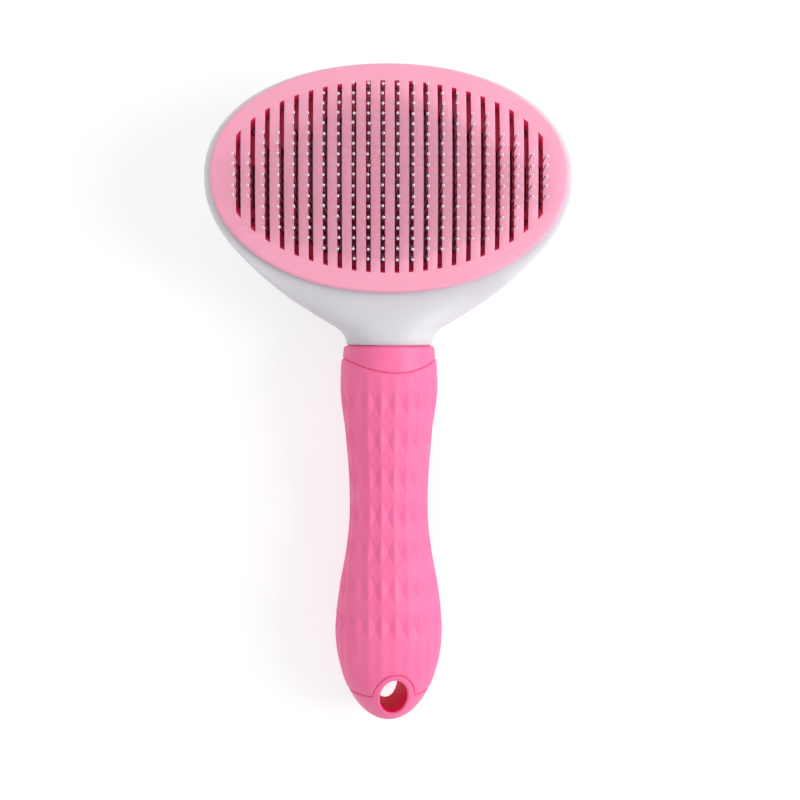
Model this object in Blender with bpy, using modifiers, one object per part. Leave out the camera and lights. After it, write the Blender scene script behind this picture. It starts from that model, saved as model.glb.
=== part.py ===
"""Self-cleaning slicker brush for pets, lying on its back with the pins up.

A white oval head shell carries an arched bed of 22 rows of bent wire pins.  A slotted
ejector plate lies over the shell's rim.  Four legs on its underside clip into a carrier,
which is screwed to the push button on the back, so the button, carrier and plate slide
together along +Z and push the hair off the pins.  A coil spring returns them.

X is the brush's width, +Y points from the handle to the head, +Z is the way the pins
point.  The origin is on the table, under the middle of the brush.
"""

import math

import bmesh
import bpy
from mathutils import Matrix, Vector

MM = 0.001
GAP = 0.3 * MM  # between pieces that touch
WELD = 0.0002 * MM

# Driving dimensions
HEAD_Y = 65.6 * MM  # centre of the oval head
HEAD_HALF_WIDTH = 54.7 * MM
HEAD_HALF_HEIGHT = 34.9 * MM
OVAL_POWER = 2.1  # 2 is an ellipse, more is squarer
ARCH_RADIUS = 122 * MM  # the front of the head curves about an axis along X
FRONT_Z = 39.0 * MM  # front of the ejector plate, at the head's centre
BACK_Z = 10.0 * MM  # back of the head shell
WALL = 2.2 * MM
STROKE = 9.0 * MM  # travel of the button and plate

# Ejector plate
PLATE_HALF_WIDTH = 52.6 * MM
PLATE_HALF_HEIGHT = 34.0 * MM
PLATE_POWER = 2.08
PLATE_SKIN = 2.4 * MM
PLATE_LIP = 1.4 * MM  # depth of the lip that locates the plate in the rim
COLUMNS = 22
COLUMN_PITCH = 4.212 * MM
SLOT_WIDTH = 1.4 * MM
SLOT_FIELD = (48.9 * MM, 28.4 * MM)  # half-sizes of the oval that the slots fill
SLOT_TAPER = 0.927  # the field's size 5 mm down, against its size at the front

# Pins
ROWS = 18
FIRST_TIP_Y = 89.3 * MM  # the row furthest from the handle
ROW_PITCH = 2.934 * MM
WIRE = 0.4 * MM
PIN_HEIGHT = 13.0 * MM  # above the plate
ELBOW_HEIGHT = 8.7 * MM
PIN_LEAN = math.radians(8.6)  # of the shank, away from the handle
TIP_LEAN = math.radians(10)  # of the tip, towards the handle
FOOT = (1.5 * MM, 0.7 * MM)  # width and height of the bar that joins a row inside the bed
# First and last row of each column, from the head's side to its middle
PIN_SPANS = ((7, 11), (7, 11), (5, 14), (5, 14), (3, 15), (3, 15), (1, 16), (1, 16),
             (0, 17), (0, 17), (0, 17))

# Bed, keeper and rim, at the head's centre
RIM_Z = FRONT_Z - PLATE_SKIN - GAP
BED_TOP = 34.6 * MM
BED_BOTTOM = 31.6 * MM
KEEPER_TOP = BED_BOTTOM - GAP
KEEPER_BOTTOM = 29.7 * MM
BED_SLOT_WIDTH = 1.0 * MM
RIM_OPENING = 0.905  # of the head's outline
SCREW_PLACES = [(x * 39.5 * MM, y * 14.2 * MM) for x in (-1, 1) for y in (-1, 1)]
SCREW_SEAT = BED_TOP - 1.6 * MM  # in a counterbore

# Button, carrier and spring
BUTTON_HALF = (22.0 * MM, 16.0 * MM)
FLANGE_HALF = (24.0 * MM, 18.0 * MM)
FLANGE_Z = BACK_Z + WALL + GAP
FLANGE = 2.0 * MM
CARRIER_Z = FLANGE_Z + FLANGE + GAP
CARRIER = 2.0 * MM
BUTTON_FLOOR = 2.2 * MM
LEG_PLACES = [(x * 4 * COLUMN_PITCH, y * 23.6 * MM) for x in (-1, 1) for y in (-1, 1)]
LEG = (1.8 * MM, 3.2 * MM)
BARB = 1.2 * MM
CARRIER_SCREW_X = 18.3 * MM
SPRING_RADIUS = 6.0 * MM
SPRING_WIRE = 0.9 * MM
SPRING_TURNS = 7

# Handle, along its own axis from the neck to the tail
HANDLE_TOP = Vector((0, 16.4, 21.66)) * MM
HANDLE_LENGTH = 117.5 * MM
HANDLE_TILT = math.radians(3.6)  # the tail is nearer the table than the neck
HANDLE_TURN = math.radians(7)  # the grip sits turned a little in its socket
HANDLE_FLATNESS = 0.955  # depth over width
# Distance from the neck and half-width
HANDLE_STATIONS = ((0, 13.9), (12, 14.95), (28, 13.3), (44, 12.2), (56, 12.4), (66, 13.7),
                   (76, 15.5), (82, 16.3))
TAIL_START = 88.0 * MM
TAIL_HALF_WIDTH = 16.7 * MM
COLLAR_ARC = 27.1 * MM
COLLAR_DIP = 7.9 * MM  # lowest point of the seam between collar and grip
TAIL_SEAM = 107.0 * MM
HOLE_PLACE = 107.2 * MM
HOLE_RADIUS = 4.2 * MM
HOLE_STRETCH = 1.43  # the hole is longer than wide
BOSS_RADIUS = 6.5 * MM
BOSS_STRETCH = 1.2
SPINE_RADIUS = 8.6 * MM
TANG_RADIUS = 6.0 * MM
TANG_LENGTH = 22.0 * MM
# The neck, from the collar into the head: distance along Y, and half-width or height, in mm
NECK_STATIONS = ((16.4, 13.0), (18.5, 13.4), (21.0, 15.2), (24.0, 20.0), (29.7, 29.0), (35.6, 36.6),
                 (41.4, 42.9), (48.0, 47.2))
NECK_BACK = ((16.4, 9.0), (26.0, 10.4), (48.0, 10.4))
NECK_FRONT = ((16.4, 34.0), (21.0, 33.4), (29.5, 31.0), (48.0, 31.0))


def clear_scene():
    for obj in list(bpy.data.objects):
        bpy.data.objects.remove(obj)


def make_collection(name):
    collection = bpy.data.collections.new(name)
    bpy.context.scene.collection.children.link(collection)
    return collection


def make_material(name, colour, roughness, metallic=0.0):
    material = bpy.data.materials.new(name)
    material.use_nodes = True
    shader = material.node_tree.nodes["Principled BSDF"]
    shader.inputs["Base Color"].default_value = (*colour, 1)
    shader.inputs["Roughness"].default_value = roughness
    shader.inputs["Metallic"].default_value = metallic
    return material


def add_empty(name, location, rotation=None):
    empty = bpy.data.objects.new(name, None)
    empty.location = location
    if rotation is not None:
        empty.rotation_euler = rotation.to_euler()
    BRUSH.objects.link(empty)
    return empty


def new_object(name, data):
    obj = bpy.data.objects.new(name, data)
    BRUSH.objects.link(obj)
    return obj


def from_bmesh(name, bm):
    mesh = bpy.data.meshes.new(name)
    bmesh.ops.recalc_face_normals(bm, faces=bm.faces)
    bm.to_mesh(mesh)
    bm.free()
    return new_object(name, mesh)


def bake(obj):
    """The object as a plain mesh, with its modifiers applied and a curve's caps welded."""
    graph = bpy.context.evaluated_depsgraph_get()
    mesh = bpy.data.meshes.new_from_object(obj.evaluated_get(graph))
    name, matrix = obj.name, obj.matrix_world.copy()
    bpy.data.objects.remove(obj)
    bm = bmesh.new()
    bm.from_mesh(mesh)
    bmesh.ops.remove_doubles(bm, verts=bm.verts, dist=WELD)
    bm.to_mesh(mesh)
    bm.free()
    made = new_object(name, mesh)
    made.matrix_world = matrix
    return made


def combine(target, other, operation):
    """The target joined with, cut by or limited to the other, which is used up."""
    modifier = target.modifiers.new(operation.lower(), "BOOLEAN")
    modifier.object = other
    modifier.operation = operation
    modifier.solver = "EXACT"
    made = bake(target)
    bpy.data.objects.remove(other)
    return made


def cut(target, *cutters):
    for cutter in cutters:
        target = combine(target, cutter, "DIFFERENCE")
    return target


def join(target, *others):
    for other in others:
        target = combine(target, other, "UNION")
    return target


def box(name, low, high):
    bm = bmesh.new()
    low, high = Vector(low), Vector(high)
    place = Matrix.Translation((low + high) / 2) @ Matrix.Diagonal((*(high - low), 1))
    bmesh.ops.create_cube(bm, size=1, matrix=place)
    return from_bmesh(name, bm)


def oval_cone(name, half_bottom, half_top, bottom, top, power=2.0, steps=48):
    """An upright oval prism or frustum, with half-sizes (x, y) at its two ends."""
    bm = bmesh.new()
    bmesh.ops.create_cone(bm, cap_ends=True, segments=steps, radius1=1, radius2=1, depth=1)
    for v in bm.verts:
        half = half_top if v.co.z > 0 else half_bottom
        v.co = (*superoval(math.atan2(v.co.y, v.co.x), half, power), top if v.co.z > 0 else bottom)
    return from_bmesh(name, bm)


def cylinder(name, radius, centre, bottom, top, steps=20):
    obj = oval_cone(name, (radius, radius), (radius, radius), bottom, top, steps=steps)
    obj.data.transform(Matrix.Translation((*centre, 0)))
    return obj


def superoval(angle, half, power):
    c, s = math.cos(angle), math.sin(angle)
    x = half[0] * math.copysign(abs(c) ** (2 / power), c)
    y = half[1] * math.copysign(abs(s) ** (2 / power), s)
    return x, y


def turned(name, profile, steps):
    """A solid of revolution about Z. The profile of (radius, z) runs top to bottom, outside the axis."""
    mesh = bpy.data.meshes.new(name)
    points = [(radius, 0, z) for radius, z in profile]
    mesh.from_pydata(points, [(i, i + 1) for i in range(len(points) - 1)], [])
    obj = new_object(name, mesh)
    screw = obj.modifiers.new("screw", "SCREW")
    screw.steps = screw.render_steps = steps
    screw.use_merge_vertices = True
    screw.merge_threshold = WELD
    return bake(obj)


def smooth_through(stations, at):
    """A smooth curve through (place, value) stations, with a cubic between neighbours."""
    last = len(stations) - 1
    i = max(k for k in range(last) if stations[k][0] <= at or k == 0)

    def slope(k):
        low, high = max(k - 1, 0), min(k + 1, last)
        return (stations[high][1] - stations[low][1]) / (stations[high][0] - stations[low][0])

    (x0, y0), (x1, y1) = stations[i], stations[i + 1]
    t, span = (at - x0) / (x1 - x0), x1 - x0
    return (
        y0 * (2 * t**3 - 3 * t**2 + 1)
        + slope(i) * span * (t**3 - 2 * t**2 + t)
        + y1 * (3 * t**2 - 2 * t**3)
        + slope(i + 1) * span * (t**3 - t**2)
    )


def drop(y):
    """How far the arched front lies below its middle at this distance from the head's centre."""
    return y * y / (2 * ARCH_RADIUS)


def arch(obj, half_height, strips=10):
    """Bends a flat piece over the head's arch. Each strip across Y is sheared, so flat faces stay flat."""
    edges = [half_height * (2 * k / strips - 1) for k in range(strips + 1)]
    bm = bmesh.new()
    bm.from_mesh(obj.data)
    for y in edges[1:-1]:
        bmesh.ops.bisect_plane(
            bm, geom=bm.verts[:] + bm.edges[:] + bm.faces[:], plane_co=(0, y, 0), plane_no=(0, 1, 0), dist=1e-7
        )
    for v in bm.verts:
        k = min(max(int((v.co.y / half_height + 1) / 2 * strips), 0), strips - 1)
        share = (v.co.y - edges[k]) / (edges[k + 1] - edges[k])
        v.co.z -= drop(edges[k]) + share * (drop(edges[k + 1]) - drop(edges[k]))
    bm.to_mesh(obj.data)
    bm.free()
    return obj


def arch_upper(obj, flat_below=16 * MM):
    """Bends only the upper part of a deep piece, fading out downwards."""
    for v in obj.data.vertices:
        share = min(1, max(0, (v.co.z - flat_below) / (RIM_Z - flat_below)))
        v.co.z -= share * drop(v.co.y)
    return obj


def column_x(column):
    return (column - (COLUMNS - 1) / 2) * COLUMN_PITCH


def pin_span(column):
    return PIN_SPANS[min(column, COLUMNS - 1 - column)]


def heading(angle):
    return Vector((math.sin(angle), math.cos(angle)))


def pin_line(row):
    """The foot, elbow and tip (y, z) of a pin, and the angles of its shank and tip from upright."""
    rise = ELBOW_HEIGHT * math.tan(PIN_LEAN) - (PIN_HEIGHT - ELBOW_HEIGHT) * math.tan(TIP_LEAN)
    normal = math.asin((FIRST_TIP_Y - ROW_PITCH * row - HEAD_Y - rise) / (ARCH_RADIUS + PIN_HEIGHT))
    shank, point = normal + PIN_LEAN, normal - TIP_LEAN
    through = Vector((0, FRONT_Z - ARCH_RADIUS)) + heading(normal) * ARCH_RADIUS
    elbow = through + heading(shank) * (ELBOW_HEIGHT / math.cos(PIN_LEAN))
    tip = elbow + heading(point) * ((PIN_HEIGHT - ELBOW_HEIGHT) / math.cos(TIP_LEAN))
    depth = FRONT_Z - BED_BOTTOM - GAP - FOOT[1] / 2
    foot = through - heading(shank) * (depth / math.cos(PIN_LEAN))
    return foot, elbow, tip, shank


def foot_y(row):
    return pin_line(row)[0].x


def make_pin_row(column):
    """One row of bent pins, as flat as the wire, standing on a bar that holds them together."""
    name = f"pin_row_{column + 1:02d}"
    first, last = pin_span(column)
    ends = (foot_y(last) - WIRE, foot_y(first) + WIRE)
    middle = BED_BOTTOM + GAP + FOOT[1] / 2
    outline = []
    for row in range(last, first - 1, -1):
        foot, elbow, tip, shank = pin_line(row)
        side = Vector((math.cos(shank), -math.sin(shank))) * WIRE / 2
        base = Vector((foot.x, middle - drop(foot.x)))
        outline += [base - side, elbow - side, tip - side * 0.7, tip + side * 0.7, elbow + side, base + side]
    floor = -0.15 * MM
    outline = [(ends[0], middle - drop(ends[0])), *outline, (ends[1], middle - drop(ends[1]))]
    feet = (foot_y(r) for r in range(first, last + 1))
    outline += [(y, middle - drop(y) + floor) for y in (ends[1], *feet, ends[0])]
    curve = bpy.data.curves.new(name, "CURVE")
    curve.dimensions = "2D"
    curve.fill_mode = "BOTH"
    curve.extrude = WIRE / 2
    spline = curve.splines.new("POLY")
    spline.points.add(len(outline) - 1)
    for point, (y, z) in zip(spline.points, outline):
        point.co = (y, z, 0, 1)
    spline.use_cyclic_u = True
    pins = bake(new_object(name, curve))
    upright = Matrix(((0, 0, 1, 0), (1, 0, 0, 0), (0, 1, 0, 0), (0, 0, 0, 1)))
    pins.data.transform(upright)
    bar = box("bar", (-FOOT[0] / 2, ends[0], middle - FOOT[1] / 2),
              (FOOT[0] / 2, ends[1], middle + FOOT[1] / 2))
    pins = join(pins, arch(bar, HEAD_HALF_HEIGHT))
    pins.data.transform(Matrix.Translation((column_x(column), 0, 0)))
    return pins


def make_head_shell():
    half = (HEAD_HALF_WIDTH, HEAD_HALF_HEIGHT)
    outer = ((0, RIM_Z), (0.985, RIM_Z), (1, RIM_Z - 1.2 * MM), (1, 28 * MM), (0.985, 22 * MM), (0.94, 17 * MM),
             (0.87, 13 * MM), (0.78, 10.6 * MM), (0.70, BACK_Z), (0, BACK_Z))
    inner = ((0, 40 * MM), (RIM_OPENING, 40 * MM), (RIM_OPENING, 31 * MM), (0.93, 28 * MM), (0.925, 22 * MM),
             (0.885, 17.5 * MM), (0.82, 14 * MM), (0.74, BACK_Z + WALL), (0, BACK_Z + WALL))
    shell = arch_upper(oval(turned("head_shell", outer, 48), half))
    shell = join(shell, make_neck())
    shell = cut(shell, arch_upper(oval(turned("cavity", inner, 48), half)))
    hole = tuple(size + 0.4 * MM for size in BUTTON_HALF)
    shell = cut(shell, oval_cone("button_hole", hole, hole, BACK_Z - 5 * MM, BACK_Z + 5 * MM, 2.2, 40))
    for place in SCREW_PLACES:
        top = KEEPER_BOTTOM - GAP - drop(place[1]) - 0.1 * MM
        shell = join(shell, cylinder("boss", 3 * MM, place, 14.5 * MM, top, 16))
        shell = cut(shell, cylinder("pilot", 1.3 * MM, place, top - 7 * MM, top + MM, 12))
    return shell


def oval(obj, half):
    """Stretches a turned piece of unit radius to the head's superoval outline."""
    for v in obj.data.vertices:
        radius = math.hypot(v.co.x, v.co.y)
        x, y = superoval(math.atan2(v.co.y, v.co.x), half, OVAL_POWER)
        v.co.x, v.co.y = radius * x, radius * y
    return obj


def make_neck():
    """The neck and its tang, in head coordinates: oval sections lofted along Y."""
    steps, sections = 28, 10
    start, end = NECK_STATIONS[0][0], NECK_STATIONS[-1][0]
    bm = bmesh.new()
    rings = []
    for k in range(sections + 1):
        share = k / sections
        y = start + (end - start) * share
        half_width = smooth_through(NECK_STATIONS, y) * MM
        low, high = (smooth_through(stations, y) * MM for stations in (NECK_BACK, NECK_FRONT))
        ring = []
        for i in range(steps):
            x, z = superoval(2 * math.pi * i / steps, (half_width, (high - low) / 2), 2 + share)
            z += (high + low) / 2
            slant = (z - HANDLE_TOP.z) * math.tan(HANDLE_TILT) * max(0, 1 - 2 * share)
            ring.append(bm.verts.new((x, y * MM + GAP - slant - HEAD_Y, z)))
        rings.append(ring)
    for a, b in zip(rings, rings[1:]):
        for i in range(steps):
            bm.faces.new((a[i], a[(i + 1) % steps], b[(i + 1) % steps], b[i]))
    bm.faces.new(rings[0])
    bm.faces.new(rings[-1])
    neck = from_bmesh("neck", bm)
    tang = cylinder("tang", TANG_RADIUS, (0, 0), -2 * MM, TANG_LENGTH, 20)
    tang.data.transform(Matrix.Translation((0, -HEAD_Y, 0)) @ handle_matrix())
    return join(neck, tang)


def make_ejector_plate():
    outline = (PLATE_HALF_WIDTH, PLATE_HALF_HEIGHT)
    skin_bottom = FRONT_Z - PLATE_SKIN
    plate = oval_cone("ejector_plate", outline, outline, skin_bottom, FRONT_Z, PLATE_POWER, 56)
    bevel = plate.modifiers.new("edge", "BEVEL")
    bevel.width = 0.8 * MM
    bevel.segments = 2
    plate = bake(plate)
    lip = tuple(size * RIM_OPENING - 2 * GAP for size in (HEAD_HALF_WIDTH, HEAD_HALF_HEIGHT))
    plate = join(plate, oval_cone("lip", lip, lip, skin_bottom - PLATE_LIP, skin_bottom + MM, OVAL_POWER, 48))
    pocket_top = tuple(size * (1 - 0.5 * (1 - SLOT_TAPER)) for size in SLOT_FIELD)
    slot_bottom = tuple(size * SLOT_TAPER for size in SLOT_FIELD)
    plate = cut(plate, oval_cone("pocket", pocket_top, pocket_top, skin_bottom - 5 * MM, skin_bottom, 2.0, 48))
    for column in range(COLUMNS):
        x = column_x(column)
        slot = oval_cone("slot", slot_bottom, SLOT_FIELD, FRONT_Z - 5 * MM, FRONT_Z + MM, 2.0, 56)
        band = box("band", (x - SLOT_WIDTH / 2, -1, -1), (x + SLOT_WIDTH / 2, 1, 1))
        plate = cut(plate, combine(slot, band, "INTERSECT"))
    plate = arch(plate, PLATE_HALF_HEIGHT)
    foot = CARRIER_Z - GAP - BARB
    for x, y in LEG_PLACES:
        head = FRONT_Z - drop(y) - PLATE_SKIN / 2
        leg = box("leg", (x - LEG[0] / 2, y - LEG[1] / 2, foot), (x + LEG[0] / 2, y + LEG[1] / 2, head))
        inner = y - math.copysign(LEG[1] / 2 + BARB, y)
        outer = y + math.copysign(LEG[1] / 2 - 0.1 * MM, y)
        barb = box("barb", (x - LEG[0] / 2 + 0.1 * MM, min(inner, outer), foot + 0.1 * MM),
                   (x + LEG[0] / 2 - 0.1 * MM, max(inner, outer), foot + BARB))
        plate = join(plate, join(leg, barb))
    return plate


def leg_window(x, y, bottom, top):
    half = (LEG[0] / 2 + GAP, LEG[1] / 2 + GAP)
    return box("window", (x - half[0], y - half[1], bottom), (x + half[0], y + half[1], top))


def make_pin_bed():
    half = (48.8 * MM, 30.6 * MM)
    bed = oval_cone("pin_bed", half, half, BED_BOTTOM, BED_TOP, OVAL_POWER, 48)
    for column in range(COLUMNS):
        first, last = pin_span(column)
        x = column_x(column)
        narrow, wide = BED_SLOT_WIDTH / 2, FOOT[0] / 2 + GAP
        low, high = foot_y(last) - 0.9 * MM, foot_y(first) + 1.9 * MM
        bed = cut(bed, box("slot", (x - narrow, low, BED_BOTTOM - MM), (x + narrow, high, BED_TOP + MM)),
                  box("bar_slot", (x - wide, low, BED_BOTTOM - MM),
                      (x + wide, high, BED_BOTTOM + FOOT[1] + 2 * GAP)))
    for x, y in LEG_PLACES:
        bed = cut(bed, leg_window(x, y, BED_BOTTOM - MM, BED_TOP + MM))
    for place in SCREW_PLACES:
        bed = cut(bed, cylinder("hole", 1.3 * MM, place, BED_BOTTOM - MM, BED_TOP + MM, 12),
                  cylinder("counterbore", 2.3 * MM, place, SCREW_SEAT, BED_TOP + MM, 16))
    return arch(bed, half[1])


def make_bed_keeper():
    """The plate behind the bed that holds the rows of pins in, with a seat for the spring."""
    half = (47.2 * MM, 29.4 * MM)
    keeper = oval_cone("bed_keeper", half, half, KEEPER_BOTTOM, KEEPER_TOP, OVAL_POWER, 40)
    for x, y in LEG_PLACES:
        keeper = cut(keeper, leg_window(x, y, KEEPER_BOTTOM - MM, KEEPER_TOP + MM))
    for place in SCREW_PLACES:
        keeper = cut(keeper, cylinder("hole", 1.3 * MM, place, KEEPER_BOTTOM - MM, KEEPER_TOP + MM, 12))
    keeper = arch(keeper, half[1])
    return join(keeper, cylinder("seat", 4.8 * MM, (0, 0), KEEPER_BOTTOM - 2.6 * MM, KEEPER_BOTTOM + MM, 20))


def make_screw(name, place, seat, radius=1.0 * MM, length=7.0 * MM):
    """A pan-head screw pointing down, with a cross recess, its head resting on seat."""
    head = 2.0 * radius
    profile = ((0, seat + 1.4 * MM), (0.6 * head, seat + 1.3 * MM), (head, seat + 0.7 * MM), (head, seat + GAP / 2),
               (radius, seat + GAP / 2), (radius, seat - length + 1.2 * MM), (0, seat - length))
    screw = turned(name, profile, 14)
    for angle in (0, math.pi / 2):
        recess = box("recess", (-0.6 * head, -0.2 * MM, seat + 0.7 * MM),
                     (0.6 * head, 0.2 * MM, seat + 2 * MM))
        recess.data.transform(Matrix.Rotation(angle, 4, "Z"))
        screw = cut(screw, recess)
    screw.data.transform(Matrix.Translation((*place, 0)))
    return screw


def make_push_button():
    """A cup with a flange. Its flat bottom is what the head rests on."""
    cup = oval_cone("push_button", BUTTON_HALF, BUTTON_HALF, 0, FLANGE_Z + FLANGE / 2, 2.2, 40)
    bevel = cup.modifiers.new("edge", "BEVEL")
    bevel.width = 1.6 * MM
    bevel.segments = 2
    cup = bake(cup)
    cup = join(cup, oval_cone("flange", FLANGE_HALF, FLANGE_HALF, FLANGE_Z, FLANGE_Z + FLANGE, 2.2, 40))
    inside = tuple(size - 2 * MM for size in BUTTON_HALF)
    cup = cut(cup, oval_cone("inside", inside, inside, BUTTON_FLOOR, CARRIER_Z, 2.2, 40))
    dish = (15 * MM, 9.5 * MM)
    small = tuple(0.8 * size for size in dish)
    cup = cut(cup, oval_cone("thumb_dish", dish, small, -MM, 0.8 * MM, 2.0, 32))
    for x in (-CARRIER_SCREW_X, CARRIER_SCREW_X):
        cup = join(cup, cylinder("boss", 2.6 * MM, (x, 0), BUTTON_FLOOR - 0.5 * MM, FLANGE_Z + FLANGE, 16))
        cup = cut(cup, cylinder("pilot", 1.3 * MM, (x, 0), 6 * MM, CARRIER_Z, 12))
    return join(cup, cylinder("spring_boss", 4.6 * MM, (0, 0), BUTTON_FLOOR - 0.5 * MM, 7 * MM, 20))


def make_carrier():
    """Joins the button to the plate's legs."""
    top = CARRIER_Z + CARRIER
    carrier = oval_cone("carrier", FLANGE_HALF, FLANGE_HALF, CARRIER_Z, top, 2.2, 40)
    for x in sorted({place[0] for place in LEG_PLACES}):
        reach = 26.3 * MM
        carrier = join(carrier, box("arm", (x - 2.4 * MM, -reach, CARRIER_Z + 0.1 * MM),
                                    (x + 2.4 * MM, reach, top - 0.1 * MM)))
    carrier = cut(carrier, cylinder("spring_hole", 8 * MM, (0, 0), CARRIER_Z - MM, top + MM, 24))
    for x, y in LEG_PLACES:
        carrier = cut(carrier, leg_window(x, y, CARRIER_Z - MM, top + MM))
    for x in (-CARRIER_SCREW_X, CARRIER_SCREW_X):
        carrier = cut(carrier, cylinder("hole", 1.3 * MM, (x, 0), CARRIER_Z - MM, top + MM, 12))
    return carrier


def make_spring():
    """A compression spring with a closed turn at each end."""
    low = BUTTON_FLOOR + GAP + SPRING_WIRE / 2
    high = KEEPER_BOTTOM - GAP - SPRING_WIRE / 2
    per_turn = 12
    turns = SPRING_TURNS + 2
    close = SPRING_WIRE * 1.15
    curve = bpy.data.curves.new("return_spring", "CURVE")
    curve.dimensions = "3D"
    curve.bevel_depth = SPRING_WIRE / 2
    curve.bevel_resolution = 1
    curve.use_fill_caps = True
    spline = curve.splines.new("POLY")
    spline.points.add(turns * per_turn)
    for k, point in enumerate(spline.points):
        turn = k / per_turn
        rise = close * (min(turn, 1) + max(turn - 1 - SPRING_TURNS, 0))
        rise += (high - low - 2 * close) * min(max(turn - 1, 0), SPRING_TURNS) / SPRING_TURNS
        angle = 2 * math.pi * turn
        point.co = (SPRING_RADIUS * math.cos(angle), SPRING_RADIUS * math.sin(angle), low + rise, 1)
    return new_object("return_spring", curve)


def handle_matrix():
    """From handle coordinates (x across, y towards the front, z from neck to tail) to the brush's."""
    along = Vector((0, -math.cos(HANDLE_TILT), -math.sin(HANDLE_TILT)))
    front = Vector((0, -math.sin(HANDLE_TILT), math.cos(HANDLE_TILT)))
    turn = Matrix.Rotation(-HANDLE_TURN, 4, "Z")
    frame = Matrix((Vector((1, 0, 0)), front, along)).transposed().to_4x4()
    return Matrix.Translation(HANDLE_TOP) @ frame @ turn


def handle_half_width(place):
    """Half-width of the handle at a distance from the neck, rounded off as an ellipse at the tail."""
    if place < TAIL_START:
        return smooth_through(HANDLE_STATIONS + ((TAIL_START / MM, TAIL_HALF_WIDTH / MM),), place / MM) * MM
    share = min(1, (place - TAIL_START) / (HANDLE_LENGTH - TAIL_START))
    return TAIL_HALF_WIDTH * math.sqrt(1 - share * share)


def handle_envelope(name):
    """The handle's whole outer form, turned and flattened."""
    body = [TAIL_START * k / 13 for k in range(14)]
    tail = [TAIL_START + (HANDLE_LENGTH - TAIL_START) * math.sin(math.pi / 2 * k / 8) for k in range(1, 8)]
    places = [*body, *tail]
    profile = [(0, HANDLE_LENGTH), *((handle_half_width(p), p) for p in reversed(places)), (0, 0)]
    return flattened(turned(name, profile, 32))


def flattened(obj):
    obj.data.transform(Matrix.Diagonal((1, HANDLE_FLATNESS, 1, 1)))
    return obj


def across(name, radius, place, steps, stretch=1.0):
    """A long cylinder through the handle from front to back, at a distance from the neck."""
    obj = cylinder(name, radius, (0, 0), -40 * MM, 40 * MM, steps)
    turn = Matrix.Rotation(math.pi / 2, 4, "X")
    obj.data.transform(Matrix.Translation((0, 0, place)) @ Matrix.Diagonal((1, 1, stretch, 1)) @ turn)
    return obj


def collar_shape(inset):
    return across("collar_shape", COLLAR_ARC + inset, COLLAR_DIP - COLLAR_ARC, 64)


def tail_shape(inset):
    below = box("below", (-0.04, -0.04, TAIL_SEAM - inset), (0.04, 0.04, HANDLE_LENGTH + 0.01))
    return join(below, across("boss", BOSS_RADIUS + inset, HOLE_PLACE, 28, BOSS_STRETCH))


def make_handle_core():
    """Hard core: the collar and the tail show at the two ends of the rubber grip."""
    collar = combine(handle_envelope("handle_core"), collar_shape(-GAP / 2), "INTERSECT")
    tail = combine(handle_envelope("tail"), tail_shape(-GAP / 2), "INTERSECT")
    spine = flattened(cylinder("spine", SPINE_RADIUS, (0, 0), 2 * MM, TAIL_SEAM + 2 * MM, 24))
    core = join(collar, spine, tail)
    core = cut(core, across("hang_hole", HOLE_RADIUS, HOLE_PLACE, 24, HOLE_STRETCH))
    return cut(core, cylinder("socket", TANG_RADIUS + GAP, (0, 0), -5 * MM, TANG_LENGTH + MM, 20))


def make_handle_grip():
    grip = cut(handle_envelope("handle_grip"), collar_shape(GAP / 2), tail_shape(GAP / 2))
    spine = flattened(cylinder("spine", SPINE_RADIUS + GAP, (0, 0), -5 * MM, HANDLE_LENGTH + 5 * MM, 24))
    return cut(grip, spine)


def finish(obj, material, parent):
    """Gives a piece its material, its parent empty and smooth shading between sharp edges."""
    obj.data.materials.clear()
    obj.data.materials.append(material)
    if obj.type == "MESH":
        obj.data.shade_smooth()
        obj.data.set_sharp_from_angle(angle=math.radians(35))
    obj.parent = parent


def build():
    white = make_material("white_abs", (0.82, 0.82, 0.84), 0.35)
    plate_pink = make_material("plate_pink", (0.93, 0.42, 0.57), 0.45)
    handle_pink = make_material("handle_pink", (0.91, 0.17, 0.38), 0.4)
    rubber = make_material("grip_rubber", (0.91, 0.17, 0.38), 0.6)
    bed_pink = make_material("bed_pink", (0.45, 0.05, 0.14), 0.6)
    steel = make_material("steel", (0.75, 0.75, 0.76), 0.25, 1.0)

    head = add_empty("head_centre", (0, HEAD_Y, 0))
    slide = add_empty("eject_axis", (0, HEAD_Y, 0))
    handle = add_empty("handle_axis", (0, 0, 0))
    handle.matrix_world = handle_matrix()

    finish(make_head_shell(), white, head)
    finish(make_pin_bed(), bed_pink, head)
    finish(make_bed_keeper(), bed_pink, head)
    for column in range(COLUMNS):
        finish(make_pin_row(column), steel, head)
    for k, place in enumerate(SCREW_PLACES):
        name = f"bed_screw_{k + 1}"
        finish(make_screw(name, place, SCREW_SEAT - drop(abs(place[1]) - 2.3 * MM)), steel, head)

    finish(make_ejector_plate(), plate_pink, slide)
    finish(make_push_button(), handle_pink, slide)
    finish(make_carrier(), white, slide)
    for k, x in enumerate((-CARRIER_SCREW_X, CARRIER_SCREW_X)):
        finish(make_screw(f"carrier_screw_{k + 1}", (x, 0), CARRIER_Z + CARRIER), steel, slide)
    finish(make_spring(), steel, head)

    finish(make_handle_core(), handle_pink, handle)
    finish(make_handle_grip(), rubber, handle)


clear_scene()
BRUSH = make_collection("slicker_brush")
build()
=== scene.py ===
"""The slicker brush, lying on its back with the pins up, on a pale floor under soft studio light.

Lengths are in millimetres and turned into metres where a mesh is made.
"""
import math

import bmesh
import bpy
import numpy as np
from mathutils import Matrix, Vector


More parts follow.
